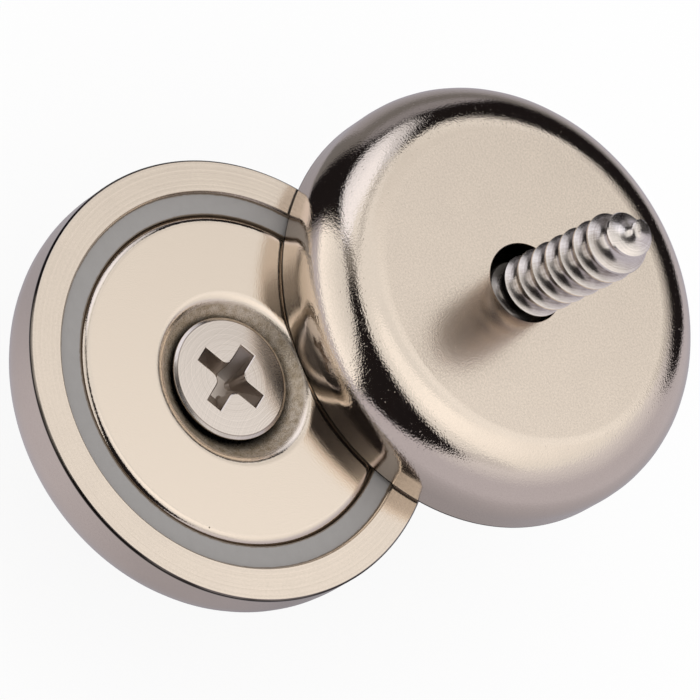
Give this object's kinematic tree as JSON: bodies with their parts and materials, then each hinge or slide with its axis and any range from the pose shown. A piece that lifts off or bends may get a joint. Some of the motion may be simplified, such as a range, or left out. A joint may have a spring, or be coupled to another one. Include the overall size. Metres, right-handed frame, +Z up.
{
  "type": "countersunk pot magnet pair",
  "caption": "Countersunk pot magnets in nickel-plated steel cups, held face to face off centre by their own pull, each with a ring magnet, a resin ring and a flat-head wood screw.",
  "frame": {"origin": "centre of the lower magnet's flat back, where its screw leaves it", "axes": "+Z up along the magnets' axes, from the lower magnet's back to the upper one's; +Y from the lower magnet's axis to the upper one's"},
  "size_m": [0.036, 0.06, 0.0442],
  "materials": {
    "pot_nickel": "nickel-plated steel, satin on the flat back and polished on the wall",
    "magnet_nickel": "nickel-plated, satin with a fine grain",
    "resin": "matte grey potting resin",
    "bond": "cured adhesive",
    "screw_steel": "bright plated steel"
  },
  "bodies": {
    "lower": {"lower_pot": "pot_nickel", "lower_magnet": "magnet_nickel", "lower_resin": "resin", "lower_bond": "bond"},
    "upper": {"upper_pot": "pot_nickel", "upper_magnet": "magnet_nickel", "upper_resin": "resin", "upper_bond": "bond"},
    "lower_screw": {"lower_screw": "screw_steel"},
    "upper_screw": {"upper_screw": "screw_steel"}
  },
  "joints": [
    {"name": "upper_slide", "type": "slide", "parent": "lower", "child": "upper", "axis": [0, 1, 0], "range_m": [-0.024, 0.0125]},
    {"name": "lower_screw_turn", "type": "hinge", "parent": "lower", "child": "lower_screw", "pos_m": [-0.00025, -0.00006, 0], "axis": [0, 0, 1], "continuous": true},
    {"name": "upper_screw_turn", "type": "hinge", "parent": "upper", "child": "upper_screw", "pos_m": [0, 0.024, 0.0058], "axis": [0.0463, 0.0361, 0.9983], "continuous": true}
  ]
}
